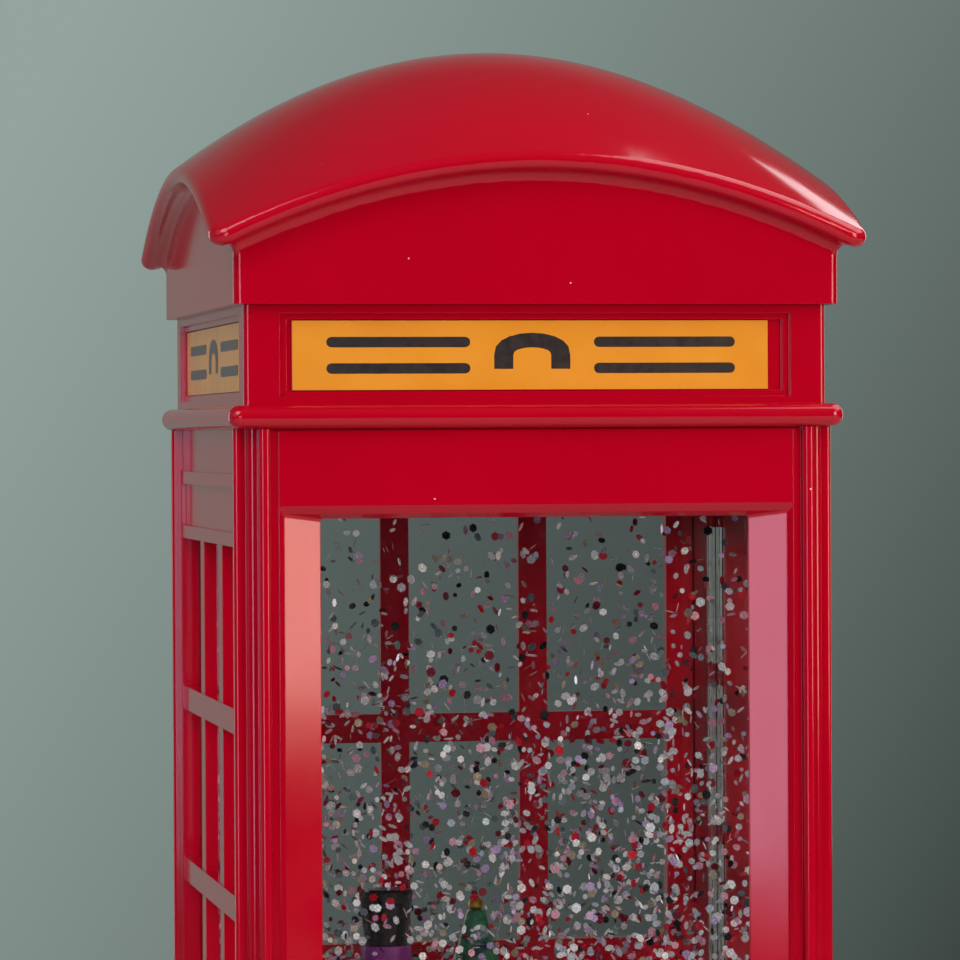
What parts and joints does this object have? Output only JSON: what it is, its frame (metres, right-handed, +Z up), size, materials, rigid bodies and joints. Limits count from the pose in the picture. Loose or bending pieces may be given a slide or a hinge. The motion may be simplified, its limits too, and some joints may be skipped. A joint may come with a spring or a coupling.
{
  "type": "table-top glitter lantern",
  "caption": "Table-top lantern shaped like a telephone booth: domed roof, sign band, window grilles and a clear fluid tank of glitter with a magnet-driven stirrer.",
  "frame": {"origin": "middle of the plane that the rubber feet rest on", "axes": "+Z up, front window towards -Y, +X to the right seen from the front"},
  "size_m": [0.1092, 0.1092, 0.27],
  "materials": {
    "red_abs": "gloss",
    "amber_sign": "gloss",
    "clear_styrene": "gloss",
    "glitter_fluid": "gloss",
    "snow_white": "satin",
    "hat_black": "gloss",
    "band_purple": "satin",
    "scarf_red": "satin",
    "carrot_orange": "satin",
    "fir_green": "satin",
    "tip_gold": "gloss",
    "black_abs": "satin",
    "nylon_white": "satin",
    "seal_rubber": "matte",
    "foot_rubber": "matte",
    "zinc_screw": "satin",
    "tinned_steel": "satin",
    "motor_can": "satin",
    "shaft_steel": "polished",
    "magnet_nickel": "polished",
    "board_green": "satin",
    "led_white": "gloss",
    "cell_jacket": "satin"
  },
  "bodies": {
    "housing": {"roof_cap": "red_abs", "sign_band": "red_abs", "sign_front": "amber_sign", "sign_right": "amber_sign", "sign_rear": "amber_sign", "sign_left": "amber_sign", "roof_screws": "zinc_screw", "booth_shell": "red_abs", "front_frame": "red_abs", "grille_right": "red_abs", "grille_left": "red_abs", "grille_rear": "red_abs", "plinth": "red_abs", "base_plate": "black_abs", "base_screws": "zinc_screw", "rubber_feet": "foot_rubber", "battery_box": "black_abs", "aa_cells": "cell_jacket", "battery_contacts": "tinned_steel", "battery_springs": "tinned_steel", "mechanism_deck": "nylon_white", "motor": "motor_can", "led_board": "board_green", "led_chips": "led_white", "circuit_board": "board_green", "board_screws": "zinc_screw", "switch_body": "tinned_steel", "usb_socket": "tinned_steel", "tank": "clear_styrene", "tank_base": "clear_styrene", "tank_seal": "seal_rubber", "fill_plug": "seal_rubber", "impeller_pin": "shaft_steel", "fluid": "glitter_fluid", "snow_ground": "snow_white", "snowman": "snow_white", "snowman_hat": "hat_black", "hat_band": "band_purple", "snowman_scarf": "scarf_red", "snowman_nose": "carrot_orange", "snowman_coals": "hat_black", "fir_tree": "fir_green", "tree_tip": "tip_gold"},
    "battery_door": {"battery_door": "black_abs", "door_screw": "zinc_screw"},
    "switch_knob": {"switch_knob": "black_abs"},
    "rotor": {"motor_shaft": "shaft_steel", "magnet_rotor": "nylon_white", "rotor_magnets": "magnet_nickel"},
    "impeller": {"impeller": "nylon_white", "impeller_magnets": "magnet_nickel"}
  },
  "joints": [
    {"name": "battery_door_hinge", "type": "hinge", "parent": "housing", "child": "battery_door", "pos_m": [0, -0.0304, 0.003], "axis": [-1, 0, 0], "range_deg": [0, 95]},
    {"name": "switch_slide", "type": "slide", "parent": "housing", "child": "switch_knob", "axis": [1, 0, 0], "range_m": [-0.002, 0.002]},
    {"name": "motor_spin", "type": "hinge", "parent": "housing", "child": "rotor", "pos_m": [0, 0, 0.05], "axis": [0, 0, 1], "continuous": true},
    {"name": "impeller_spin", "type": "hinge", "parent": "housing", "child": "impeller", "pos_m": [0, 0, 0.062], "axis": [0, 0, 1], "continuous": true}
  ],
  "couplings": [
    {"joint": "impeller_spin", "follows": "motor_spin", "ratio": 1}
  ]
}
